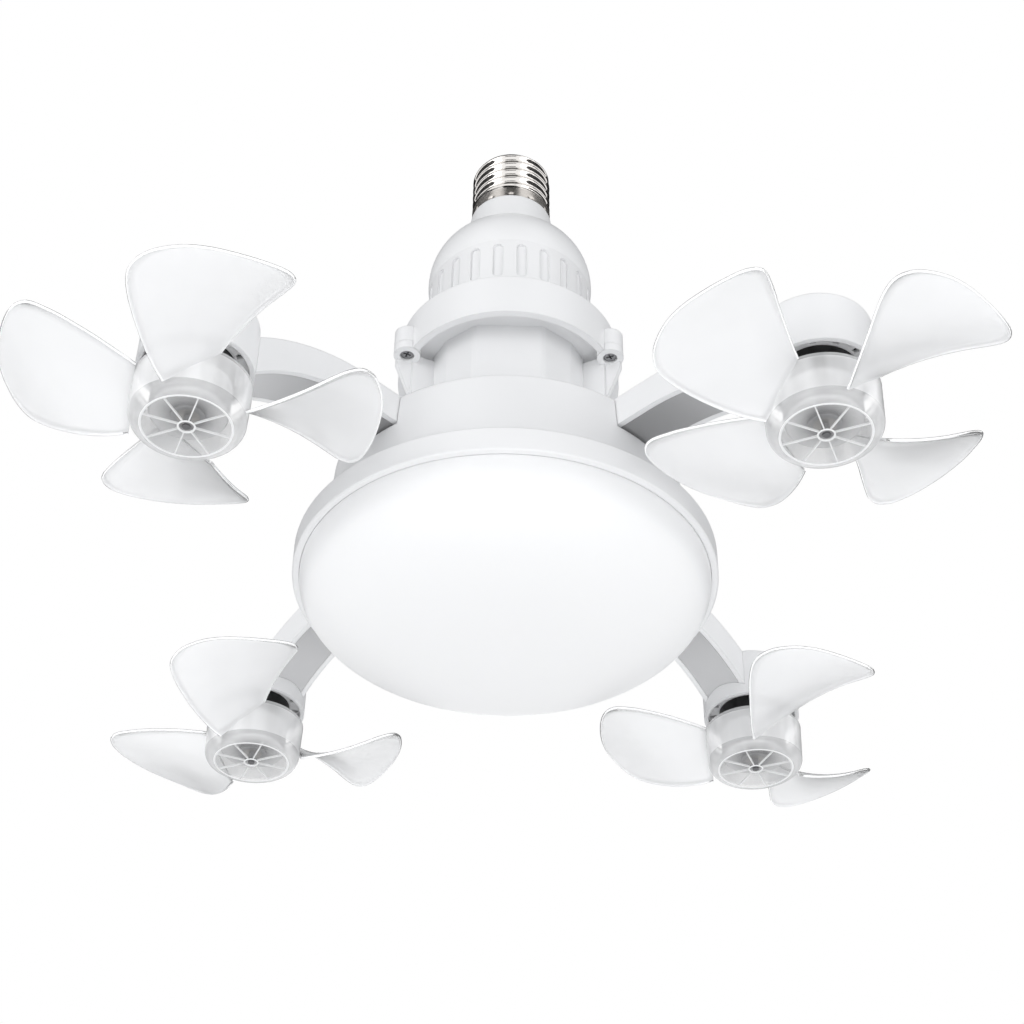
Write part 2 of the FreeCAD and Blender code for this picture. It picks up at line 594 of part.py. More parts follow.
def make_driver():
    """Upright driver board in the neck with its larger parts and leads."""
    height = DRIVER_TOP_Z - DRIVER_FOOT_Z
    board = Part.makeBox(DRIVER_W, DRIVER_T, height, V(-DRIVER_W / 2, 0, DRIVER_FOOT_Z))
    save("driver_board", board)
    face = DRIVER_T
    core_top = CORE_FOOT_Z + CORE_H
    core = Part.makeBox(CORE_W, CORE_YOKE, CORE_H, V(-CORE_W / 2, face, CORE_FOOT_Z))
    for foot in (CORE_FOOT_Z, core_top - CORE_YOKE):
        core = core.fuse(Part.makeBox(CORE_W, CORE_DEPTH, CORE_YOKE, V(-CORE_W / 2, face, foot)))
    coil_axis = V(0, face + 6.2, 0)
    coil = tube(COIL_R, 0, CORE_FOOT_Z + CORE_YOKE, core_top - CORE_YOKE, coil_axis)
    save("driver_transformer", core.fuse(coil).removeSplitter())
    round_ones = []
    for radius, tall, x, foot in (TALL_CAPACITOR, SMALL_CAPACITOR):
        round_ones.append(Part.makeCylinder(radius, tall, V(x, face + radius, foot)))
    width, depth, tall, foot = FILM_CAPACITOR
    film = Part.makeBox(width, depth, tall, V(-width / 2, -depth, foot))
    save("driver_capacitors", *round_ones, film)
    edge_y = DRIVER_T / 2
    board_foot = CHASSIS_Z - CHASSIS_T - 0.5
    runs = (  # (x, z) corners of the live, neutral, plus and minus leads
        ((3.0, CAP_H - 1.6), (3.0, -10.0), (5.0, -30.0), (5.0, DRIVER_TOP_Z)),
        ((-8.4, 12.0), (-7.0, -4.0), (-5.0, -30.0), (-5.0, DRIVER_TOP_Z)),
        ((3.0, DRIVER_FOOT_Z), (3.0, -128.0), (2.0, -138.0), (2.0, board_foot)),
        ((-3.0, DRIVER_FOOT_Z), (-3.0, -128.0), (-2.0, -138.0), (-2.0, board_foot)))
    save("inner_leads", *[wire_run([(x, edge_y, z) for x, z in run], WIRE_R) for run in runs])


# ---- arms -------------------------------------------------------------------------
def arm_profile(top_inset, foot_inset, inner_r, outer_r):
    """Side view of the arm between two radii, inset from its top and underside."""
    bend_centre = V(ARM_STRAIGHT_R, 0, ARM_TOP_Z - ARM_BEND_R)
    upper_r = ARM_BEND_R - top_inset
    lower_r = ARM_BEND_R - ARM_H + foot_inset

    def on_bend(radius, r):
        return V(r, 0, bend_centre.z + math.sqrt(radius ** 2 - (r - ARM_STRAIGHT_R) ** 2))

    mid = (ARM_STRAIGHT_R + outer_r) / 2
    top = ARM_TOP_Z - top_inset
    foot = ARM_TOP_Z - ARM_H + foot_inset
    edges = [
        Part.LineSegment(V(inner_r, 0, top), V(ARM_STRAIGHT_R, 0, top)).toShape(),
        Part.Arc(V(ARM_STRAIGHT_R, 0, top), on_bend(upper_r, mid), on_bend(upper_r, outer_r)).toShape(),
        Part.LineSegment(on_bend(upper_r, outer_r), on_bend(lower_r, outer_r)).toShape(),
        Part.Arc(on_bend(lower_r, outer_r), on_bend(lower_r, mid), V(ARM_STRAIGHT_R, 0, foot)).toShape(),
        Part.LineSegment(V(ARM_STRAIGHT_R, 0, foot), V(inner_r, 0, foot)).toShape(),
        Part.LineSegment(V(inner_r, 0, foot), V(inner_r, 0, top)).toShape()]
    return Part.Face(Part.Wire(edges))


def make_arm(name, azimuth):
    """Channel-shaped arm with its underside cover, hinge pin and motor lead."""
    pivot = V(PIVOT_R, 0, ARM_TOP_Z - ARM_H / 2)
    fan_axis = V(FAN_R, 0, 0)
    inner_w = ARM_W - 2 * ARM_WALL
    housing_zone = tube(HOUSING_R, 0, HOUSING_RIM_Z - 5, HOUSING_TOP_Z + 10, fan_axis)
    body = across(arm_profile(0, 0, PIVOT_R, FAN_R - 8), ARM_W)
    knuckle = Part.makeCylinder(ARM_H / 2, ARM_W, pivot - V(0, ARM_W / 2, 0), V(0, 1, 0))
    pin_bore = Part.makeCylinder(PIN_R + PIN_CLEARANCE, ARM_W + 2,
                                 pivot - V(0, ARM_W / 2 + 1, 0), V(0, 1, 0))
    hollow = across(arm_profile(ARM_WALL, -1.0, ARM_HOLLOW_FROM, FAN_R - 7), inner_w)
    shell = body.fuse(knuckle).cut(pin_bore).cut(hollow).cut(housing_zone)
    save("arm_shell_" + name, spun(shell.removeSplitter().Solids[0], azimuth))

    cover_w = inner_w - 2 * ARM_COVER_GAP
    cover = across(arm_profile(ARM_H - ARM_COVER_T, 0, ARM_HOLLOW_FROM, FAN_R - 8), cover_w)
    cover = cover.cut(housing_zone)
    save("arm_cover_" + name, spun(cover.Solids[0], azimuth))

    pin_l = ARM_W + 2 * SLOT_SIDE_GAP + 2 * SLOT_CHEEK
    pin = Part.makeCylinder(PIN_R, pin_l, pivot - V(0, pin_l / 2, 0), V(0, 1, 0))
    save("hinge_pin_" + name, spun(pin, azimuth))

    leads = []
    for side in (-LEAD_SPACING / 2, LEAD_SPACING / 2):
        leads.append(wire_run([(r, side, z) for r, z in LEAD_POINTS], WIRE_R))
    save("arm_leads_" + name, *[spun(lead, azimuth) for lead in leads])


# ---- motor and impeller -------------------------------------------------------------
def make_motor(name, azimuth):
    """Cup-shaped housing, the can with its magnets and bearings, and the armature."""
    cup_in = HOUSING_R - HOUSING_WALL
    ceiling = HOUSING_TOP_Z - HOUSING_PLATE
    cup = turned([
        line((0, HOUSING_TOP_Z), (HOUSING_R - HOUSING_EDGE, HOUSING_TOP_Z)),
        rounded_corner(HOUSING_R, HOUSING_TOP_Z, HOUSING_EDGE),
        line((HOUSING_R, HOUSING_TOP_Z - HOUSING_EDGE), (HOUSING_R, HOUSING_RIM_Z)),
        line((HOUSING_R, HOUSING_RIM_Z), (cup_in, HOUSING_RIM_Z)),
        line((cup_in, HOUSING_RIM_Z), (cup_in, ceiling)),
        line((cup_in, ceiling), (0, ceiling)),
        line((0, ceiling), (0, HOUSING_TOP_Z))])
    web = tube(cup_in, MOTOR_R, WEB_Z - WEB_T, WEB_Z)
    vent = Part.makeBox(VENT_L, VENT_W, 3 * WEB_T, V(MOTOR_R + 0.8, -VENT_W / 2, WEB_Z - 2 * WEB_T))
    vents = [spun(vent, index * 360.0 / WEB_VENTS) for index in range(WEB_VENTS)]
    lead_hole = Part.makeCylinder(LEAD_HOLE_R, 6, V(-HOUSING_R - 3, 0, LEAD_HOLE_Z), V(1, 0, 0))
    cup = cup.fuse(web.cut(vents)).cut(lead_hole)

    can_in = MOTOR_R - MOTOR_WALL
    nose_z = MOTOR_FOOT_Z - MOTOR_NOSE_H
    floor_z = MOTOR_FOOT_Z + MOTOR_FOOT_PLATE
    roof_z = MOTOR_TOP_Z - MOTOR_TOP_PLATE
    bend = MOTOR_WALL * (1 - math.sqrt(0.5))
    can = turned([
        line((BEARING_R, MOTOR_TOP_Z), (MOTOR_R, MOTOR_TOP_Z)),
        line((MOTOR_R, MOTOR_TOP_Z), (MOTOR_R, MOTOR_FOOT_Z + MOTOR_WALL)),
        arc((MOTOR_R, MOTOR_FOOT_Z + MOTOR_WALL), (MOTOR_R - bend, MOTOR_FOOT_Z + bend),
            (can_in, MOTOR_FOOT_Z)),
        line((can_in, MOTOR_FOOT_Z), (MOTOR_NOSE_R, MOTOR_FOOT_Z)),
        line((MOTOR_NOSE_R, MOTOR_FOOT_Z), (MOTOR_NOSE_R, nose_z)),
        line((MOTOR_NOSE_R, nose_z), (BEARING_R, nose_z)),
        line((BEARING_R, nose_z), (BEARING_R, floor_z)),
        line((BEARING_R, floor_z), (can_in, floor_z)),
        line((can_in, floor_z), (can_in, roof_z)),
        line((can_in, roof_z), (BEARING_R, roof_z)),
        line((BEARING_R, roof_z), (BEARING_R, MOTOR_TOP_Z))])

    magnet_top = MOTOR_TOP_Z - MAGNET_INSET
    magnet_foot = MOTOR_FOOT_Z + MAGNET_INSET
    magnets = tube(can_in, MAGNET_BORE_R, magnet_foot, magnet_top)
    split = Part.makeBox(4 * MOTOR_R, MAGNET_SPLIT_W, magnet_top - magnet_foot + 2,
                         V(-2 * MOTOR_R, -MAGNET_SPLIT_W / 2, magnet_foot - 1))
    magnets = magnets.cut(split)

    bush_r = SHAFT_R + SHAFT_CLEARANCE
    low_bearing = tube(BEARING_R, bush_r, nose_z, nose_z + BEARING_H)
    top_bearing = tube(BEARING_R, bush_r, MOTOR_TOP_Z - BEARING_H, MOTOR_TOP_Z)

    shaft = tube(SHAFT_R, 0, HUB_FOOT_Z - 0.2, MOTOR_TOP_Z - 0.3)
    core = tube(ROTOR_R, 0, magnet_foot + 1.5, magnet_top - 1.5)
    slot = Part.makeBox(2.6, ROTOR_SLOT_W, magnet_top - magnet_foot, V(4.4, -ROTOR_SLOT_W / 2, magnet_foot))
    core = core.cut([spun(slot, turn) for turn in (30, 150, 270)])
    commutator = tube(COMMUTATOR_R, 0, magnet_top - 1.5, MOTOR_TOP_Z - BEARING_H - 0.4)
    armature = shaft.fuse([core, commutator]).removeSplitter()

    def placed(shape):
        copy = shape.copy()
        copy.translate(V(FAN_R, 0, 0))
        return spun(copy, azimuth)

    save("motor_housing_" + name, placed(cup))
    save("motor_can_" + name, placed(can))
    save("motor_magnets_" + name, *[placed(solid) for solid in magnets.Solids])
    save("motor_bearings_" + name, placed(low_bearing), placed(top_bearing))
    save("motor_armature_" + name, placed(armature))


def blade_section(radius, low_edge, high_edge, pitch, height):
    """A thin rounded-end rectangle square to the blade's centre line."""
    slope = math.radians(pitch)
    along = V(0, math.cos(slope), math.sin(slope))
    up = V(0, -math.sin(slope), math.cos(slope)) * (BLADE_T / 2)
    centre = V(radius, 0, height)
    reach = 1 / math.cos(slope)
    a = centre + along * (low_edge * reach)
    b = centre + along * (high_edge * reach)
    nose = along * (BLADE_T / 2)
    edges = [
        Part.LineSegment(a + up, b + up).toShape(),
        Part.Arc(b + up, b + nose, b - up).toShape(),
        Part.LineSegment(b - up, a - up).toShape(),
        Part.Arc(a - up, a - nose, a + up).toShape()]
    return Part.Wire(edges)


def make_impeller(name, azimuth, blade_count, first_blade):
    """Clear hub cup with inner ribs and the blades around it."""
    foot_in = HUB_FOOT_Z + HUB_WALL
    boss_top = HUB_FOOT_Z + HUB_BOSS_H
    knee = HUB_FILLET * (1 - math.sqrt(0.5))
    knee_in = knee + HUB_WALL * math.sqrt(0.5)
    cup = turned([
        line((HUB_R, HUB_TOP_Z), (HUB_FOOT_R, HUB_FOOT_Z + HUB_FILLET)),
        arc((HUB_FOOT_R, HUB_FOOT_Z + HUB_FILLET), (HUB_FOOT_R - knee, HUB_FOOT_Z + knee),
            (HUB_FOOT_R - HUB_FILLET, HUB_FOOT_Z)),
        line((HUB_FOOT_R - HUB_FILLET, HUB_FOOT_Z), (SHAFT_R, HUB_FOOT_Z)),
        line((SHAFT_R, HUB_FOOT_Z), (SHAFT_R, boss_top)),
        line((SHAFT_R, boss_top), (HUB_BOSS_R, boss_top)),
        line((HUB_BOSS_R, boss_top), (HUB_BOSS_R, foot_in)),
        line((HUB_BOSS_R, foot_in), (HUB_FOOT_R - HUB_FILLET, foot_in)),
        arc((HUB_FOOT_R - HUB_FILLET, foot_in), (HUB_FOOT_R - knee_in, HUB_FOOT_Z + knee_in),
            (HUB_FOOT_R - HUB_WALL, HUB_FOOT_Z + HUB_FILLET)),
        line((HUB_FOOT_R - HUB_WALL, HUB_FOOT_Z + HUB_FILLET), (HUB_R - HUB_WALL, HUB_TOP_Z)),
        line((HUB_R - HUB_WALL, HUB_TOP_Z), (HUB_R, HUB_TOP_Z))])
    rib = Part.makeBox(HUB_RIB_END_R - HUB_BOSS_R + 0.2, HUB_RIB_T, HUB_RIB_H + 0.3,
                       V(HUB_BOSS_R - 0.2, -HUB_RIB_T / 2, foot_in - 0.3))
    hub = cup.fuse([spun(rib, index * 360.0 / HUB_RIBS) for index in range(HUB_RIBS)])
    sections = [blade_section(*values) for values in BLADE_SECTIONS]
    blade = Part.makeLoft(sections, True, False)
    keep_out = Part.makeCone(HUB_FOOT_R - HUB_WALL / 2, HUB_R - HUB_WALL / 2,
                             HUB_TOP_Z - HUB_FOOT_Z + 4, V(0, 0, HUB_FOOT_Z - 2))
    blade = blade.cut(keep_out).Solids[0]
    blades = [spun(blade, first_blade + index * 360.0 / blade_count) for index in range(blade_count)]
    impeller = hub.fuse(blades)
    impeller.translate(polar(FAN_R, azimuth))
    save("impeller_" + name, impeller.Solids[0])


# ---- build ------------------------------------------------------------------------
os.makedirs("parts", exist_ok=True)
make_cap()
make_neck_housing()
make_clamp_ring()
make_faceted_neck()
make_body()
make_bezel_and_diffuser()
make_light_engine()
make_driver()
for place, turn in ARM_AZIMUTHS.items():
    make_arm(place, turn)
    make_motor(place, turn)
    make_impeller(place, turn, *BLADES[place])
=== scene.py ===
"""Looks of the screw-in light with four fans on folding arms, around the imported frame.

Metres, in the frame of the CAD: +Z up, the front of the lamp faces -Y.
"""
import bpy
import json
import math
from mathutils import Matrix, Vector


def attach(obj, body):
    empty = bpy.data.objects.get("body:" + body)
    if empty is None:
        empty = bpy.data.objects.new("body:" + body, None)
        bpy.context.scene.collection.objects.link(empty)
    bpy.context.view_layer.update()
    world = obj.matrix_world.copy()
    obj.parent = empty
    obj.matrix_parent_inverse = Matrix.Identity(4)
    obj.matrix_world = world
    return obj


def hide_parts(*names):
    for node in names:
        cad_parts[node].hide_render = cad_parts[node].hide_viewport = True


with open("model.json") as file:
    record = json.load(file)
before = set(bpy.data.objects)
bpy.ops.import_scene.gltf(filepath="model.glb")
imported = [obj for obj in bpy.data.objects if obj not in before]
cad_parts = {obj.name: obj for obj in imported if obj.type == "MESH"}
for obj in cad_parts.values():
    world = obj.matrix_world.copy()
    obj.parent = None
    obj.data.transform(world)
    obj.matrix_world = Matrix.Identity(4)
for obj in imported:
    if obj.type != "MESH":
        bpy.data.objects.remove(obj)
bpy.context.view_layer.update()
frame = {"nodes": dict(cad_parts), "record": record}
scene = bpy.context.scene
MM = 0.001

# ---- sizes shared with the CAD, in millimetres ----------------------------------
CAP_SKIRT_R = 13.2
CAP_CREST_R = 13.15
CAP_ROOT_R = 12.1
CAP_BORE_R = 11.6
CAP_PITCH = 3.629
CAP_SKIRT_H = 5.6
CAP_H = 24.5
CAP_RIM_R = 9.6
CAP_COLUMNS = 160
SKIRT_ROWS_Z = (0.0, 0.25, 0.5, 0.8, 1.1, 1.4, 1.7, 2.1, 2.6, 3.2, 3.8, 4.3)
THREAD_FOOT_Z = 4.7
THREAD_TOP_Z = CAP_H - 2.2
THREAD_STEPS = 96
THREAD_RUN_IN = CAP_SKIRT_H + 0.4 - THREAD_FOOT_Z
THREAD_RUN_OUT = 1.6
CRIMPS = 12
CRIMP_Z = 1.1
CRIMP_HALF_H = 0.45
CRIMP_DEPTH = 0.45
CRIMP_HALF_W = 0.09  # share of the way from one crimp to the next
CRIMPS_TOP_Z = 2.7

FAN_R = 113.0
FAN_AZIMUTHS = {"front_left": -135.0, "front_right": -45.0,
                "rear_left": 135.0, "rear_right": 45.0}
# number of blades, azimuth of the first
BLADES = {"front_left": (4, -171.0), "front_right": (4, -144.0),
          "rear_left": (3, -98.0), "rear_right": (3, -194.0)}
# radius from the fan's axis, reach of the low and the high edge, pitch, height
BLADE_STATIONS = (
    (14.4, 6.4, 6.4, 42.0, -156.2),
    (19.9, 9.2, 9.6, 32.5, -155.3),
    (28.0, 12.8, 14.8, 20.5, -153.8),
    (36.0, 15.8, 20.3, 9.5, -152.0),
    (41.0, 16.0, 22.8, 4.0, -150.9),
    (44.5, 12.8, 20.6, 0.5, -150.1),
    (46.6, 8.0, 14.8, -1.5, -149.6),
    (47.9, 2.6, 7.2, -2.5, -149.3),
    (48.2, -2.2, 2.2, -2.6, -149.2))
BLADE_ROWS = 30
BLADE_COLUMNS = 16
BLADE_TIP_S = 0.012  # keeps the last row of a blade off the tip's point
BLADE_T = 1.0
BLADE_DISH = 0.35
BLADE_CHORD = 40.0
BLADE_RIM_R = 0.42
BEAD_SIDES = 8
HUB_R = 15.3
HUB_FOOT_R = 14.9
HUB_TOP_Z = -149.3
HUB_FOOT_Z = -163.5
HUB_WALL = 1.2
HUB_FILLET = 3.0
HUB_COLUMNS = 96
HUB_RIBS = 8
RIB_HALF_W = 0.17

# ---- light levels ---------------------------------------------------------------
AMBIENT_LOW = 0.80
AMBIENT_HIGH = 0.66
FLOOR_Z = -1.3
FLOOR_HALF = 40.0
FLOOR_GLOW = 0.47
LAMP_TARGET = (0, 0, -0.09)
# name, place and size in metres, power in watts
LAMPS = (
    ("key", (-0.95, -1.05, -0.30), 0.9, 6.4),
    ("fill", (1.05, -1.00, -0.40), 0.9, 5.0),
    ("bounce", (0, -0.25, FLOOR_Z + 0.15), 1.6, 4.1),
    ("back", (0.2, 1.1, 0.7), 0.9, 5.0))
FLAG_TARGET = (0, 0, 0.01)
FLAG_DISTANCE = 0.62
# flags round the cap: name, azimuth from the front, elevation, width, height, shade
FLAGS = (
    ("flag_front", 0.0, 50.0, 0.34, 0.56, 0.012),
    ("flag_low_front", 0.0, -14.0, 0.30, 0.16, 0.02),
    ("flag_top", 0.0, 96.0, 0.95, 0.66, 0.03),
    ("flag_low_left", -78.0, -20.0, 0.78, 0.34, 0.04),
    ("flag_mid_left", -86.0, 40.0, 0.46, 0.26, 0.14),
    ("flag_low_right", 80.0, -20.0, 0.80, 0.34, 0.04),
    ("flag_mid_right", 90.0, 40.0, 0.42, 0.26, 0.14),
    ("flag_left", -142.0, 14.0, 0.74, 1.10, 0.02),
    ("flag_right", 142.0, 14.0, 0.74, 1.10, 0.02),
    ("flag_back", 180.0, 40.0, 0.50, 0.70, 0.02))

# ---- material values, in metres and features per metre --------------------------
PLASTIC_IOR = 1.48
CLEAR_IOR = 1.49
SKIN_IOR = 1.35
SKIN_GRAIN = 2600.0
CLEAR_GRAIN = 3000.0
METAL_GRAIN = 900.0
DRAWN = (1, 1, 14)  # stretch of a grain that runs round the axis
COVER_MIDDLE = (0.012, 0.048)  # radii between which the cover's painted glow rises
COVER_RIM = (0.0545, 0.0589)  # radii between which it falls, a painted shade at the cover's rim
CAN_FACE_R = (0.0025, 0.0102)  # radii between which the can's face turns pale
CAN_FACE_Z = (-0.1592, -0.1575)  # heights where its face turns to its side
CAN_GAP_Z = (-0.1510, -0.1490)  # heights where its side turns dark, a painted shade in the gap above the hub

# ---- camera ---------------------------------------------------------------------
CAMERA_AT = (0.00166, -0.4265, -0.4702)
CAMERA_UP_TILT = 39.0
CAMERA_ROLL = 0.737
CAMERA_FIELD = 30.90


def make_camera():
    """The photograph's viewpoint: below the lamp and in front of it, looking up."""
    data = bpy.data.cameras.new("camera")
    data.sensor_fit = "HORIZONTAL"
    data.angle = math.radians(CAMERA_FIELD)
    data.clip_start = 0.01
    data.clip_end = 50
    camera = bpy.data.objects.new("camera", data)
    tilt = Matrix.Rotation(math.radians(90 + CAMERA_UP_TILT), 4, "X")
    roll = Matrix.Rotation(math.radians(CAMERA_ROLL), 4, "Z")
    camera.matrix_world = Matrix.Translation(CAMERA_AT) @ tilt @ roll
    scene.collection.objects.link(camera)
    scene.camera = camera


# ---- node materials -------------------------------------------------------------
def new_material(name):
    """An empty node material with its output node."""
    material = bpy.data.materials.new(name)
    material.use_nodes = True
    material.node_tree.nodes.clear()
    output = material.node_tree.nodes.new("ShaderNodeOutputMaterial")
    return material, material.node_tree, output


def add(tree, kind, inputs=None, **settings):
    """One node with its settings and its unlinked or linked inputs."""
    node = tree.nodes.new(kind)
    for key, value in settings.items():
        setattr(node, key, value)
    for key, value in (inputs or {}).items():
        if isinstance(value, bpy.types.NodeSocket):
            tree.links.new(value, node.inputs[key])
        else:
            node.inputs[key].default_value = value
    return node


def noise(tree, scale, detail=3.0, stretch=(1, 1, 1)):
    """Noise in object space; scale counts features per metre."""
    place = add(tree, "ShaderNodeTexCoord").outputs["Object"]
    mapped = add(tree, "ShaderNodeMapping", {"Vector": place, "Scale": stretch}).outputs["Vector"]
    node = add(tree, "ShaderNodeTexNoise", {"Vector": mapped, "Scale": scale, "Detail": detail})
    return node.outputs["Fac"]


def math_node(tree, operation, first, second, **settings):
    """The result of one sum on two numbers or sockets."""
    node = add(tree, "ShaderNodeMath", {0: first, 1: second}, operation=operation, **settings)
    return node.outputs[0]


def principled(tree, output, inputs):
    """A principled shader with these inputs, as the material's surface."""
    shader = add(tree, "ShaderNodeBsdfPrincipled", inputs)
    tree.links.new(shader.outputs["BSDF"], output.inputs["Surface"])


def mixed(tree, factor, first, second):
    """A mix of two shader nodes, all of the second where the factor is 1."""
    return add(tree, "ShaderNodeMixShader",
               {0: factor, 1: first.outputs[0], 2: second.outputs[0]})


def spread(tree, factor, middle, half):
    """A number that runs evenly to both sides of a middle value."""
    return between(tree, factor, middle - half, middle + half)


def between(tree, factor, low, high):
    """A number or a colour that runs from low to high with the factor."""
    if isinstance(low, (tuple, bpy.types.NodeSocket)):
        ends = [(*end, 1) if isinstance(end, tuple) else end for end in (low, high)]
        return add(tree, "ShaderNodeMix", {0: factor, 6: ends[0], 7: ends[1]},
                   data_type="RGBA").outputs[2]
    node = add(tree, "ShaderNodeMapRange", {"Value": factor, "From Min": 0.3, "From Max": 0.7,
                                            "To Min": low, "To Max": high})
    return node.outputs["Result"]


def surface_normal(tree, height, strength, depth, edge):
    """Fine bump on a normal whose edges are rounded by the given radius."""
    inputs = {"Height": height, "Strength": strength, "Distance": depth}
    if edge > 0:
        bevel = add(tree, "ShaderNodeBevel", {"Radius": edge}, samples=6)
        inputs["Normal"] = bevel.outputs["Normal"]
    return add(tree, "ShaderNodeBump", inputs).outputs["Normal"]


def moulded(name, colour, rough, edge=0.0005, tone=0.012):
    """Moulded plastic: faint tone and gloss changes, fine skin texture, soft edges."""
    material, tree, output = new_material(name)
    broad = noise(tree, 35.0, 2.0)
    fine = noise(tree, SKIN_GRAIN, 2.0)
    darker = tuple(max(0.0, c - tone) for c in colour)
    lighter = tuple(min(1.0, c + tone) for c in colour)
    principled(tree, output, {
        "Base Color": between(tree, broad, darker, lighter),
        "Roughness": spread(tree, broad, rough, 0.04),
        "Normal": surface_normal(tree, fine, 0.12, 0.00008, edge),
        "IOR": PLASTIC_IOR})
    return material


def level_length(tree, vector):
    """The length of a vector seen from above, in metres."""
    flat = add(tree, "ShaderNodeVectorMath", {0: vector, 1: (1, 1, 0)}, operation="MULTIPLY")
    length = add(tree, "ShaderNodeVectorMath", {0: flat.outputs["Vector"]}, operation="LENGTH")
    return length.outputs["Value"]


def from_axis(tree):
    """Distance from the lamp's axis, in metres."""
    return level_length(tree, add(tree, "ShaderNodeTexCoord").outputs["Object"])


def ramp(tree, value, start, end, low, high):
    """A soft step from low to high as the value runs from start to end."""
    node = add(tree, "ShaderNodeMapRange", {"Value": value, "From Min": start, "From Max": end,
                                            "To Min": low, "To Max": high},
               interpolation_type="SMOOTHSTEP")
    return node.outputs["Result"]


def shaded(name, near_colour, far_colour, rough, reach):
    """Moulded plastic with painted shade: its tone runs from the near colour close to the lamp's
    axis to the far colour away from it.
    """
    material, tree, output = new_material(name)
    fine = noise(tree, SKIN_GRAIN, 2.0)
    broad = noise(tree, 60.0, 2.0)
    # painted shade: darker towards the lamp's axis
    along = ramp(tree, from_axis(tree), *reach, 0.0, 1.0)
    principled(tree, output, {
        "Base Color": between(tree, along, near_colour, far_colour),
        "Roughness": spread(tree, broad, rough, 0.03),
        "Normal": surface_normal(tree, fine, 0.12, 0.00008, 0.0004),
        "IOR": PLASTIC_IOR})
    return material


def glow_painted_cover(name, colour, rough, painted_glow, middle_share, rim_shade_share):
    """Milky cover with a painted glow that lifts its tone, a little weaker in the middle, and
    painted shade at its very rim where the glow falls away.
    """
    material, tree, output = new_material(name)
    radius = from_axis(tree)
    # painted glow, weaker in the middle; painted shade at the very rim
    inner = ramp(tree, radius, *COVER_MIDDLE, painted_glow * middle_share, painted_glow)
    rim = ramp(tree, radius, *COVER_RIM, 1.0, rim_shade_share)
    broad = noise(tree, 22.0, 2.0)
    fine = noise(tree, SKIN_GRAIN, 2.0)
    principled(tree, output, {
        "Base Color": between(tree, broad, tuple(c - 0.015 for c in colour), colour),
        "Roughness": spread(tree, broad, rough, 0.04),
        "Normal": surface_normal(tree, fine, 0.10, 0.00006, 0.0003),
        "Subsurface Weight": 0.3,
        "Subsurface Radius": (0.004, 0.004, 0.0038),
        "Subsurface Scale": 1.0,
        "Emission Color": (1.0, 0.997, 0.99, 1),
        "Emission Strength": math_node(tree, "MULTIPLY", inner, rim)})
    return material


def metal(name, colour, rough, edge=0.00025, brushed=0.0, mottle=0.1):
    """Metal with uneven gloss, and a drawn grain round the axis where brushed."""
    material, tree, output = new_material(name)
    broad = noise(tree, 220.0, 3.0)
    fine = noise(tree, METAL_GRAIN, 3.0, DRAWN if brushed else (1, 1, 1))
    dull = tuple(c * (1 - mottle) for c in colour)
    principled(tree, output, {
        "Base Color": between(tree, broad, dull, colour),
        "Metallic": 1.0,
        "Roughness": between(tree, fine, rough * 0.8, rough * 1.25),
        "Normal": surface_normal(tree, fine, 0.05 + brushed, 0.00004, edge)})
    return material


def can_steel(name, core, rim, side, gap_shade, rough):
    """Motor can: dark round its shaft, paler towards its rim and side, and near black above the
    hub, a painted shade in the gap between the hub and the motor housing.
    """
    material, tree, output = new_material(name)
    place = add(tree, "ShaderNodeTexCoord").outputs["Object"]
    corner = FAN_R * MM * math.sqrt(0.5)
    quarter = add(tree, "ShaderNodeVectorMath", {0: place}, operation="ABSOLUTE").outputs["Vector"]
    local = add(tree, "ShaderNodeVectorMath", {0: quarter, 1: (corner, corner, 0)},
                operation="SUBTRACT").outputs["Vector"]
    radius = level_length(tree, local)
    height = add(tree, "ShaderNodeSeparateXYZ", {"Vector": place}).outputs["Z"]
    face = between(tree, ramp(tree, radius, *CAN_FACE_R, 0.0, 1.0), core, rim)
    # painted shade: near black above the hub
    wall = between(tree, ramp(tree, height, *CAN_GAP_Z, 0.0, 1.0), side, gap_shade)
    fine = noise(tree, METAL_GRAIN, 3.0, DRAWN)
    principled(tree, output, {
        "Base Color": between(tree, ramp(tree, height, *CAN_FACE_Z, 0.0, 1.0), face, wall),
        "Metallic": 0.6,
        "Roughness": between(tree, fine, rough * 0.8, rough * 1.25),
        "Normal": surface_normal(tree, fine, 0.3, 0.00004, 0.0003)})
    return material


def sheer(name, colour, cover, edge_cover, rough, reflection_streak):
    """Thin see-through plastic, denser where it is seen edge-on, with soft vertical streaks painted
    in its cover and tone as reflections of the parts inside.
    """
    material, tree, output = new_material(name)
    # painted reflections: soft vertical streaks in the cover and tone, which also vary the gloss
    painted_streaks = noise(tree, 150.0, 1.5, (1, 1, 0.12))
    fine = noise(tree, CLEAR_GRAIN, 2.0)
    facing = add(tree, "ShaderNodeLayerWeight", {"Blend": 0.5}).outputs["Facing"]
    curve = math_node(tree, "POWER", facing, 2.2)
    dense = add(tree, "ShaderNodeMapRange", {"Value": curve, "To Min": cover, "To Max": edge_cover})
    vary = spread(tree, painted_streaks, 0.0, reflection_streak)
    principled(tree, output, {
        "Base Color": between(tree, painted_streaks, tuple(c - 0.02 for c in colour), colour),
        "Roughness": between(tree, painted_streaks, rough * 0.8, rough * 1.2),
        "Alpha": math_node(tree, "ADD", dense.outputs["Result"], vary, use_clamp=True),
        "Normal": surface_normal(tree, fine, 0.06, 0.00005, 0),
        "IOR": CLEAR_IOR})
    return material


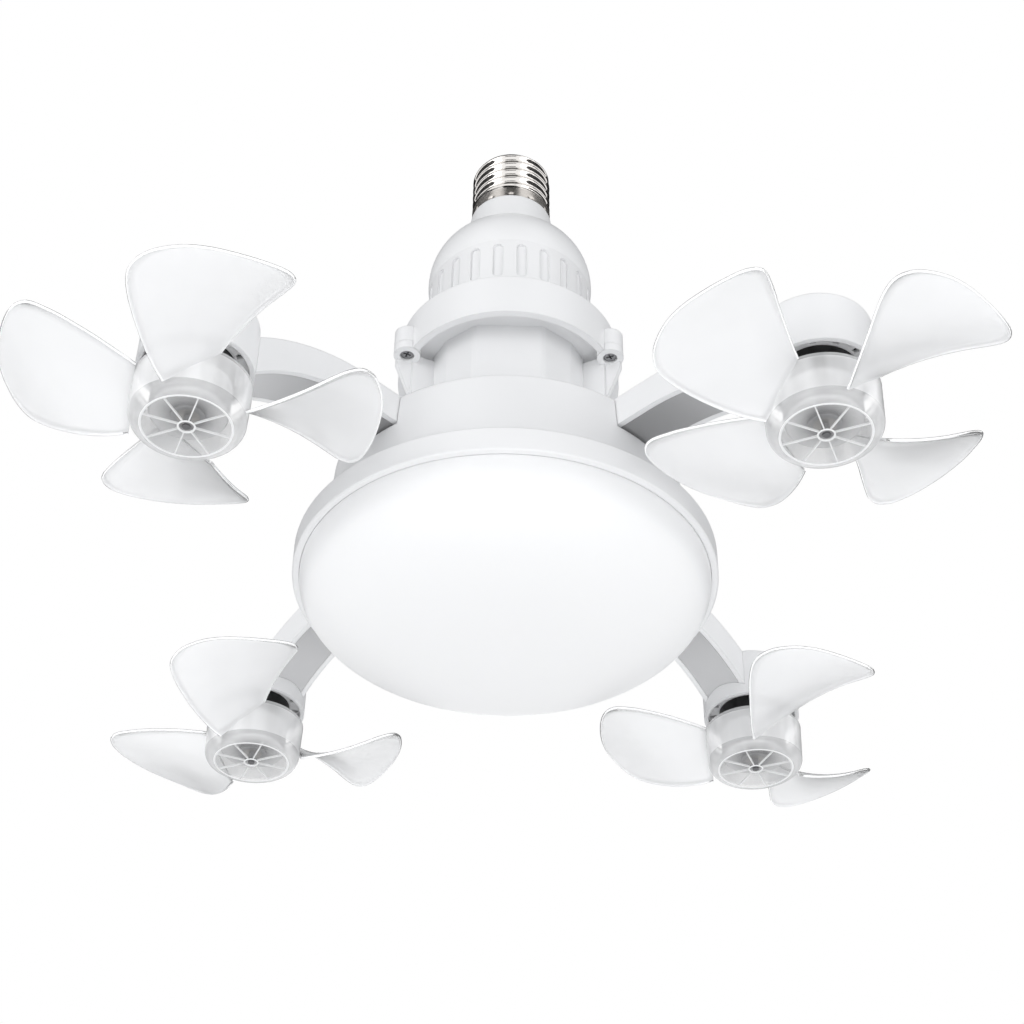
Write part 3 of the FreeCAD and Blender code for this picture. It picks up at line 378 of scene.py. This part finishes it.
def milky_sheet(name, colour, cover, painted_glow, rough):
    """Thin milky plastic with a glossy skin and a painted glow that lifts its tone: it passes light
    and dimly shows what is behind.
    """
    material, tree, output = new_material(name)
    broad = noise(tree, 45.0, 2.0)
    fine = noise(tree, CLEAR_GRAIN, 2.0)
    normal = surface_normal(tree, fine, 0.06, 0.00005, 0)
    tint = between(tree, broad, tuple(c - 0.02 for c in colour), colour)
    front = add(tree, "ShaderNodeBsdfDiffuse", {"Color": tint, "Normal": normal})
    through = add(tree, "ShaderNodeBsdfTranslucent", {"Color": tint, "Normal": normal})
    body = mixed(tree, 0.5, front, through)
    # painted glow: white emission that lifts the sheet's tone
    pale = add(tree, "ShaderNodeEmission", {"Color": (1, 1, 1, 1), "Strength": painted_glow})
    lit = add(tree, "ShaderNodeAddShader", {0: body.outputs[0], 1: pale.outputs[0]})
    skin = add(tree, "ShaderNodeBsdfGlossy", {
        "Color": (1, 1, 1, 1), "Normal": normal, "Roughness": spread(tree, broad, rough, 0.03)})
    sheen = add(tree, "ShaderNodeFresnel", {"IOR": SKIN_IOR}).outputs[0]
    coated = mixed(tree, sheen, lit, skin)
    clear_part = add(tree, "ShaderNodeBsdfTransparent", {"Color": (0.99, 0.99, 0.99, 1)})
    sheet = mixed(tree, spread(tree, broad, cover, 0.02), clear_part, coated)
    tree.links.new(sheet.outputs[0], output.inputs["Surface"])
    return material


WHITE = (0.895, 0.898, 0.905)
materials = {
    "white_plastic": moulded("white_plastic", WHITE, 0.36),
    # arm covers: painted shade, grey and darkest near the body
    "arm_painted_shade": shaded("arm_painted_shade", (0.32, 0.32, 0.325), (0.60, 0.602, 0.61), 0.32,
                            (0.056, 0.098)),
    # diffuser: painted glow that lifts its tone, with painted shade at its rim
    "milky_diffuser": glow_painted_cover("milky_diffuser", (0.895, 0.90, 0.908), 0.40, 0.118, 0.93, 0.32),
    "nickel_cap": metal("nickel_cap", (0.90, 0.87, 0.84), 0.10, 0.0, mottle=0.06),
    "cap_skirt": metal("cap_skirt", (0.80, 0.76, 0.72), 0.28, 0.0, 0.12),
    "dark_insulator": moulded("dark_insulator", (0.03, 0.03, 0.035), 0.2, 0.0003, 0.006),
    "brass_contact": metal("brass_contact", (0.78, 0.66, 0.42), 0.28),
    "screw_steel": metal("screw_steel", (0.30, 0.30, 0.31), 0.25, 0.00015),
    "aluminium_plate": metal("aluminium_plate", (0.80, 0.81, 0.82), 0.35, 0.0003, 0.1),
    "board_white": moulded("board_white", (0.90, 0.90, 0.88), 0.45, 0.0002),
    "led_phosphor": moulded("led_phosphor", (0.93, 0.80, 0.32), 0.35, 0.0002, 0.03),
    "board_green": moulded("board_green", (0.05, 0.25, 0.10), 0.4, 0.0002, 0.02),
    "transformer": moulded("transformer", (0.12, 0.12, 0.13), 0.55, 0.0003, 0.03),
    "capacitor_sleeve": moulded("capacitor_sleeve", (0.06, 0.07, 0.12), 0.35, 0.0003, 0.02),
    "lead_insulation": moulded("lead_insulation", (0.75, 0.75, 0.74), 0.45, 0.0),
    # motor can: near black above the hub, a painted shade
    "motor_steel": can_steel("motor_steel", (0.14, 0.14, 0.145), (0.60, 0.60, 0.605),
                             (0.78, 0.78, 0.785), (0.03, 0.03, 0.03), 0.45),
    "magnet_dark": moulded("magnet_dark", (0.07, 0.07, 0.075), 0.5, 0.0003, 0.01),
    "bearing_bronze": metal("bearing_bronze", (0.22, 0.21, 0.20), 0.35),
    # hub walls: streaks painted as reflections of the parts inside
    "clear_wall": sheer("clear_wall", (0.95, 0.952, 0.956), 0.74, 0.86, 0.12, 0.16),
    "clear_face": sheer("clear_face", (0.96, 0.962, 0.966), 0.15, 0.40, 0.08, 0.05),
    # clear_edge: denser and whiter than the face, a painted highlight along the hub's lip and
    # rounded foot
    "clear_edge": sheer("clear_edge", (0.94, 0.942, 0.948), 0.38, 0.85, 0.08, 0.06),
    "hub_rib": moulded("hub_rib", (0.94, 0.945, 0.95), 0.2, 0.0),
    # blades: painted glow; the stronger glow of blade_rim is a painted highlight along each blade's
    # edge bead
    "blade_frost": milky_sheet("blade_frost", (0.88, 0.884, 0.892), 0.76, 0.125, 0.22),
    "blade_rim": milky_sheet("blade_rim", (0.95, 0.952, 0.956), 0.80, 0.25, 0.12),
}


def dress_cad_nodes():
    """Each CAD node gets the material of its slot in the record; arm covers get painted shade
    instead, darker towards the body.
    """
    slots = {part["node"]: part["material_slot"] for part in frame["record"]["subparts"]}
    for name, node in frame["nodes"].items():
        node.data.materials.clear()
        if name.startswith("arm_cover"):
            node.data.materials.append(materials["arm_painted_shade"])
        else:
            node.data.materials.append(materials.get(slots[name], materials["clear_wall"]))


# ---- mesh helpers ---------------------------------------------------------------
def mesh_object(name, points, faces, used, face_slots=None, smooth=True):
    """A mesh object from points in millimetres."""
    mesh = bpy.data.meshes.new(name)
    mesh.from_pydata([tuple(c * MM for c in p) for p in points], [], faces)
    for key in used:
        mesh.materials.append(materials[key])
    if face_slots:
        mesh.polygons.foreach_set("material_index", face_slots)
    mesh.polygons.foreach_set("use_smooth", [smooth] * len(mesh.polygons))
    mesh.update()
    built = bpy.data.objects.new(name, mesh)
    scene.collection.objects.link(built)
    return built


def grid_faces(rows, columns, wrap_rows=False, wrap_columns=True, start=0):
    """Quads over a grid of points, stored row by row."""
    faces = []
    for i in range(rows if wrap_rows else rows - 1):
        for j in range(columns if wrap_columns else columns - 1):
            a = start + i * columns + j
            b = start + i * columns + (j + 1) % columns
            up = columns if i + 1 < rows else -i * columns
            faces.append((a, b, b + up, a + up))
    return faces


def revolved(profile, columns, at):
    """Points and faces of a closed (radius, z) profile turned about a vertical axis."""
    points = []
    for r, z in profile:
        for j in range(columns):
            angle = 2 * math.pi * j / columns
            points.append((at[0] + r * math.cos(angle), at[1] + r * math.sin(angle), z))
    return points, grid_faces(len(profile), columns, wrap_rows=True)


def arc_points(centre, radius, start, end, steps):
    """(radius, z) points along an arc, angles in degrees."""
    points = []
    for k in range(steps + 1):
        angle = math.radians(start + (end - start) * k / steps)
        points.append((centre[0] + radius * math.cos(angle),
                       centre[1] + radius * math.sin(angle)))
    return points


def fair(stations, s):
    """Smooth value at s of a curve through (s, value) stations in falling order of s."""
    for k in range(len(stations) - 1):
        if s >= stations[k + 1][0] or k == len(stations) - 2:
            break
    (s1, v1), (s2, v2) = stations[k], stations[k + 1]
    s0, v0 = stations[k - 1] if k > 0 else (2 * s1 - s2, 2 * v1 - v2)
    s3, v3 = stations[k + 2] if k + 2 < len(stations) else (2 * s2 - s1, 2 * v2 - v1)
    slope1 = (v2 - v0) / (s2 - s0)
    slope2 = (v3 - v1) / (s3 - s1)
    h = s2 - s1
    t = (s - s1) / h
    return ((2 * t ** 3 - 3 * t ** 2 + 1) * v1 + (t ** 3 - 2 * t ** 2 + t) * h * slope1
            + (3 * t ** 2 - 2 * t ** 3) * v2 + (t ** 3 - t ** 2) * h * slope2)


# ---- screw cap ------------------------------------------------------------------
def make_cap_thread():
    """The nickel cap: rolled round thread, plain skirt with punched crimps, thin wall."""
    rows = [(z, CAP_SKIRT_R, 0.0) for z in SKIRT_ROWS_Z]
    for k in range(THREAD_STEPS + 1):
        z = THREAD_FOOT_Z + (THREAD_TOP_Z - THREAD_FOOT_Z) * k / THREAD_STEPS
        blend = min(1.0, max(0.0, (z - THREAD_FOOT_Z) / THREAD_RUN_IN))
        ease = blend * blend * (3 - 2 * blend)
        fade = min(1.0, max(0.0, (THREAD_TOP_Z - z) / THREAD_RUN_OUT))
        rows.append((z, CAP_SKIRT_R + (CAP_ROOT_R - CAP_SKIRT_R) * ease,
                     (CAP_CREST_R - CAP_ROOT_R) * ease * fade * (2 - fade)))
    shoulder = ((CAP_ROOT_R - 0.2, THREAD_TOP_Z + 0.35), (CAP_ROOT_R - 0.7, THREAD_TOP_Z + 0.8),
                (CAP_RIM_R + 0.7, CAP_H - 0.6), (CAP_RIM_R + 0.15, CAP_H - 0.15),
                (CAP_RIM_R - 0.2, CAP_H), (CAP_RIM_R - 0.55, CAP_H - 0.15))
    rows += [(z, r, 0.0) for r, z in shoulder]
    inner = [(CAP_H - 2.4, CAP_BORE_R - 0.3), (CAP_H - 3.4, CAP_BORE_R), (12.0, CAP_BORE_R),
             (6.0, CAP_BORE_R), (4.4, CAP_SKIRT_R - 0.5), (0.3, CAP_SKIRT_R - 0.5),
             (0.0, CAP_SKIRT_R - 0.3)]
    rows += [(z, r, 0.0) for z, r in inner]
    points = []
    slots = []
    for i, (z, r_base, height) in enumerate(rows):
        outside = i < len(rows) - len(inner)
        for j in range(CAP_COLUMNS):
            turn = j / CAP_COLUMNS
            wave = 0.5 + 0.5 * math.cos(2 * math.pi * (z / CAP_PITCH - turn))
            r = r_base + height * wave
            if outside and z < CRIMPS_TOP_Z:
                off = (turn * CRIMPS + 0.5) % 1.0 - 0.5
                r -= CRIMP_DEPTH * math.exp(-(off / CRIMP_HALF_W) ** 2
                                            - ((z - CRIMP_Z) / CRIMP_HALF_H) ** 2)
            angle = 2 * math.pi * turn
            points.append((r * math.cos(angle), r * math.sin(angle), z))
        skirt = outside and z < SKIRT_ROWS_Z[-1]
        slots += [1 if skirt else 0] * CAP_COLUMNS
    faces = grid_faces(len(rows), CAP_COLUMNS, wrap_rows=True)
    cap = mesh_object("cap_thread", points, faces, ("nickel_cap", "cap_skirt"), slots)
    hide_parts("cap_shell")
    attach(cap, "lamp")


# ---- fans -----------------------------------------------------------------------
def fan_centre(azimuth):
    """(x, y) of a fan's axis."""
    angle = math.radians(azimuth)
    return FAN_R * math.cos(angle), FAN_R * math.sin(angle)


def blade_rows():
    """Rows of (radius, low reach, high reach, pitch, height), close together at the tip."""
    first, last = BLADE_STATIONS[0][0], BLADE_STATIONS[-1][0]

    def to_s(r):
        return math.sqrt(max(0.0, (last - r) / (last - first)))

    columns = [[(to_s(st[0]), st[k]) for st in BLADE_STATIONS] for k in range(1, 5)]
    rows = []
    for i in range(BLADE_ROWS + 1):
        s = max(1.0 - i / BLADE_ROWS, BLADE_TIP_S)
        r = last - (last - first) * s * s
        rows.append((r, *[fair(column, s) for column in columns]))
    return rows


def blade_mesh(angle, centre, points, faces, slots):
    """Adds one blade: a thin dished sheet with a bead along its free edge."""
    rows = blade_rows()
    across = BLADE_COLUMNS
    turn = math.radians(angle)
    cos_t, sin_t = math.cos(turn), math.sin(turn)

    def placed(r, y, z):
        return (centre[0] + r * cos_t - y * sin_t, centre[1] + r * sin_t + y * cos_t, z)

    def at(row, part):
        r, low, high, pitch, height = row
        y = -low + (low + high) * part
        dish = BLADE_DISH * math.sin(math.pi * part) * (low + high) / BLADE_CHORD
        return r, y, height + y * math.tan(math.radians(pitch)) - dish

    start = len(points)
    for side in (1, -1):
        for row in rows:
            for j in range(across + 1):
                r, y, z = at(row, j / across)
                points.append(placed(r, y, z + side * BLADE_T / 2))
    width = across + 1
    half = len(rows) * width
    quads = grid_faces(len(rows), width, wrap_columns=False, start=start)
    faces += [tuple(reversed(q)) for q in quads]
    faces += [tuple(i + half for i in q) for q in quads]
    slots += [0] * (2 * len(quads))
    edge = [(i, 0) for i in range(len(rows))] + [(len(rows) - 1, j) for j in range(1, width)]
    edge += [(i, across) for i in range(len(rows) - 2, -1, -1)]
    for (i, j), (m, n) in zip(edge, edge[1:]):
        a, b = start + i * width + j, start + m * width + n
        faces.append((a, b, b + half, a + half))
        slots.append(0)
    for j in range(across):
        a = start + j
        faces.append((a, a + half, a + half + 1, a + 1))
        slots.append(0)
    spine = [Vector(placed(*at(rows[i], j / across))) for i, j in edge]
    add_bead(spine, points, faces, slots)


def add_bead(spine, points, faces, slots):
    """The thin round bead of a blade's edge, along a line of points."""
    start = len(points)
    for k, at in enumerate(spine):
        before, after = spine[max(0, k - 1)], spine[min(len(spine) - 1, k + 1)]
        along = (after - before).normalized()
        side = along.cross(Vector((0, 0, 1))).normalized()
        up = side.cross(along)
        for j in range(BEAD_SIDES):
            angle = 2 * math.pi * j / BEAD_SIDES
            off = math.cos(angle) * side + math.sin(angle) * up
            points.append(tuple(at + BLADE_RIM_R * off))
    faces += grid_faces(len(spine), BEAD_SIDES, start=start)
    last = start + (len(spine) - 1) * BEAD_SIDES
    faces.append(tuple(start + j for j in range(BEAD_SIDES)))
    faces.append(tuple(last + j for j in reversed(range(BEAD_SIDES))))
    slots += [1] * ((len(spine) - 1) * BEAD_SIDES + 2)


def make_hub(place, centre):
    """Clear hub cup: a hollow profile from its lip down the wall to the shaft's seat."""
    lean = (HUB_R - HUB_FOOT_R) / (HUB_TOP_Z - HUB_FOOT_Z - HUB_FILLET)
    corner = (HUB_FOOT_R - HUB_FILLET, HUB_FOOT_Z + HUB_FILLET)
    lip = [(HUB_R - HUB_WALL, HUB_TOP_Z - 0.7), (HUB_R - HUB_WALL + 0.25, HUB_TOP_Z),
           (HUB_R - 0.25, HUB_TOP_Z), (HUB_R, HUB_TOP_Z - 0.3), (HUB_R - 0.1, HUB_TOP_Z - 0.8)]
    wall = [(HUB_R - lean * d, HUB_TOP_Z - d) for d in (1.2, 3.0, 6.0, 9.0)]
    edge = arc_points(corner, HUB_FILLET, 0, -90, 10)
    ridge = [(11.7, HUB_FOOT_Z - 0.14), (11.4, HUB_FOOT_Z - 0.14), (11.25, HUB_FOOT_Z)]
    face = [(8.0, HUB_FOOT_Z), (5.0, HUB_FOOT_Z), (2.4, HUB_FOOT_Z)]
    ring = [(2.3, HUB_FOOT_Z - 0.2), (1.95, HUB_FOOT_Z - 0.2), (1.85, HUB_FOOT_Z + 0.15)]
    seat = [(1.1, HUB_FOOT_Z + 0.2), (1.05, HUB_FOOT_Z + 0.6)]
    profile = lip + wall + edge + ridge + face + ring + seat
    points, faces = revolved(profile, HUB_COLUMNS, centre)
    faces = faces[:-HUB_COLUMNS]
    looks = ("clear_wall", "clear_face", "clear_edge", "hub_rib")
    shown = (("clear_edge", len(lip)), ("clear_wall", len(wall)), ("clear_edge", len(edge) - 1),
             ("hub_rib", len(ridge)), ("clear_face", len(face)), ("hub_rib", len(ring)),
             ("clear_face", len(seat)))
    slots = []
    for look, rows in shown:
        slots += [looks.index(look)] * (rows * HUB_COLUMNS)
    hub = mesh_object("hub_" + place, points, faces, looks, slots)
    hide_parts("impeller_" + place)
    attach(hub, "fan_" + place)


def make_ribs(place, centre):
    """Thin ribs on the floor of the hub cup."""
    foot_in = HUB_FOOT_Z + HUB_WALL
    points, faces = [], []
    for index in range(HUB_RIBS):
        angle = 2 * math.pi * (index + 0.5) / HUB_RIBS
        add_bar(points, faces, centre, angle, (2.2, HUB_FOOT_R - HUB_FILLET + 0.6),
                (foot_in - 1.12, foot_in - 0.5))
    ribs = mesh_object("hub_ribs_" + place, points, faces, ("hub_rib",), smooth=False)
    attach(ribs, "fan_" + place)


def make_blades(place, centre, count, first):
    """The frosted blades of one fan, evenly spaced from the first one's angle."""
    points, faces, slots = [], [], []
    for index in range(count):
        blade_mesh(first + index * 360.0 / count, centre, points, faces, slots)
    blades = mesh_object("blades_" + place, points, faces, ("blade_frost", "blade_rim"), slots)
    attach(blades, "fan_" + place)


def add_bar(points, faces, centre, angle, reach, heights):
    """One rib: a thin bar with chamfered long edges, on the hub's floor."""
    c, s = math.cos(angle), math.sin(angle)
    start = len(points)
    low, high = heights
    chamfer = RIB_HALF_W * 0.45
    flat = RIB_HALF_W - chamfer
    section = [(-RIB_HALF_W, low), (RIB_HALF_W, low), (RIB_HALF_W, high - chamfer),
               (flat, high), (-flat, high), (-RIB_HALF_W, high - chamfer)]
    for r in reach:
        for y, z in section:
            points.append((centre[0] + r * c - y * s, centre[1] + r * s + y * c, z))
    n = len(section)
    faces += [(start + j, start + n + j, start + n + (j + 1) % n, start + (j + 1) % n)
              for j in range(n)]
    faces.append(tuple(start + j for j in range(n)))
    faces.append(tuple(start + n + j for j in reversed(range(n))))


# ---- light and surroundings -----------------------------------------------------
def seen_directly(tree):
    """1 for camera rays, reflections and rays through clear parts."""
    path = add(tree, "ShaderNodeLightPath")
    either = math_node(tree, "MAXIMUM", path.outputs["Is Camera Ray"],
                       path.outputs["Is Glossy Ray"])
    return math_node(tree, "MAXIMUM", either, path.outputs["Is Transmission Ray"])


def make_world():
    """White to the camera and to reflections; soft light, stronger from below, for the rest."""
    world = bpy.data.worlds.new("studio")
    world.use_nodes = True
    tree = world.node_tree
    tree.nodes.clear()
    backdrop = add(tree, "ShaderNodeBackground", {"Color": (1, 1, 1, 1), "Strength": 1.0})
    aim = add(tree, "ShaderNodeTexCoord").outputs["Generated"]
    height = add(tree, "ShaderNodeSeparateXYZ", {"Vector": aim}).outputs["Z"]
    level = add(tree, "ShaderNodeMapRange", {"Value": height, "From Min": -0.35, "From Max": 0.6,
                                             "To Min": AMBIENT_LOW, "To Max": AMBIENT_HIGH})
    ambient = add(tree, "ShaderNodeBackground", {"Color": (0.975, 0.985, 1.0, 1),
                                                 "Strength": level.outputs["Result"]})
    mix = mixed(tree, seen_directly(tree), ambient, backdrop)
    add(tree, "ShaderNodeOutputWorld", {"Surface": mix.outputs[0]})
    scene.world = world


def stage_plane(name, material, half_w, half_h, at):
    """A flat piece of the studio round the object."""
    mesh = bpy.data.meshes.new(name)
    mesh.from_pydata([(-half_w, -half_h, 0), (half_w, -half_h, 0), (half_w, half_h, 0),
                      (-half_w, half_h, 0)], [], [(0, 1, 2, 3)])
    mesh.materials.append(material)
    plane = bpy.data.objects.new(name, mesh)
    plane.location = at
    scene.collection.objects.link(plane)
    return plane


def aimed(at, towards):
    """The turn that points a lamp or a card at a place."""
    return (Vector(towards) - Vector(at)).to_track_quat("-Z", "Y").to_euler()


def make_floor():
    """A plain pale floor well below the hanging lamp."""
    material, tree, output = new_material("floor_paint")
    grain = noise(tree, 40.0, 2.0)
    paint = add(tree, "ShaderNodeBsdfDiffuse", {
        "Color": between(tree, grain, (0.78,) * 3, (0.82,) * 3)})
    pale = add(tree, "ShaderNodeEmission", {"Color": (1, 1, 1, 1), "Strength": FLOOR_GLOW})
    both = add(tree, "ShaderNodeAddShader", {0: paint.outputs[0], 1: pale.outputs[0]})
    mix = mixed(tree, seen_directly(tree), paint, both)
    tree.links.new(mix.outputs[0], output.inputs["Surface"])
    stage_plane("floor", material, FLOOR_HALF, FLOOR_HALF, (0, 0, FLOOR_Z))


def area_light(name, at, size, power):
    """A soft square lamp aimed at the middle of the object."""
    data = bpy.data.lights.new(name, "AREA")
    data.size = size
    data.energy = power
    lamp = bpy.data.objects.new(name, data)
    lamp.location = at
    lamp.rotation_euler = aimed(at, LAMP_TARGET)
    lamp.visible_camera = False
    scene.collection.objects.link(lamp)


def flag(name, azimuth, elevation, width, height, shade):
    """A studio flag that only reflections see, for the bands on the metal cap."""
    turn, lift = math.radians(azimuth), math.radians(elevation)
    away = Vector((math.cos(lift) * math.sin(turn), -math.cos(lift) * math.cos(turn),
                   math.sin(lift)))
    at = Vector(FLAG_TARGET) + FLAG_DISTANCE * away
    material, tree, output = new_material(name + "_paint")
    mottle = noise(tree, 6.0)
    paint = add(tree, "ShaderNodeBsdfDiffuse", {
        "Color": between(tree, mottle, (shade * 0.8,) * 3, (shade * 1.2,) * 3)})
    tree.links.new(paint.outputs[0], output.inputs["Surface"])
    card = stage_plane(name, material, width / 2, height / 2, at)
    card.rotation_euler = aimed(at, FLAG_TARGET)
    for ray in ("camera", "diffuse", "transmission", "shadow", "volume_scatter"):
        setattr(card, "visible_" + ray, False)


# ---- build ----------------------------------------------------------------------
scene.view_settings.view_transform = "Standard"
make_camera()
dress_cad_nodes()
make_cap_thread()
for place, azimuth in FAN_AZIMUTHS.items():
    centre = fan_centre(azimuth)
    make_hub(place, centre)
    make_ribs(place, centre)
    make_blades(place, centre, *BLADES[place])
make_world()
make_floor()
for lamp in LAMPS:
    area_light(*lamp)
for card in FLAGS:
    flag(*card)
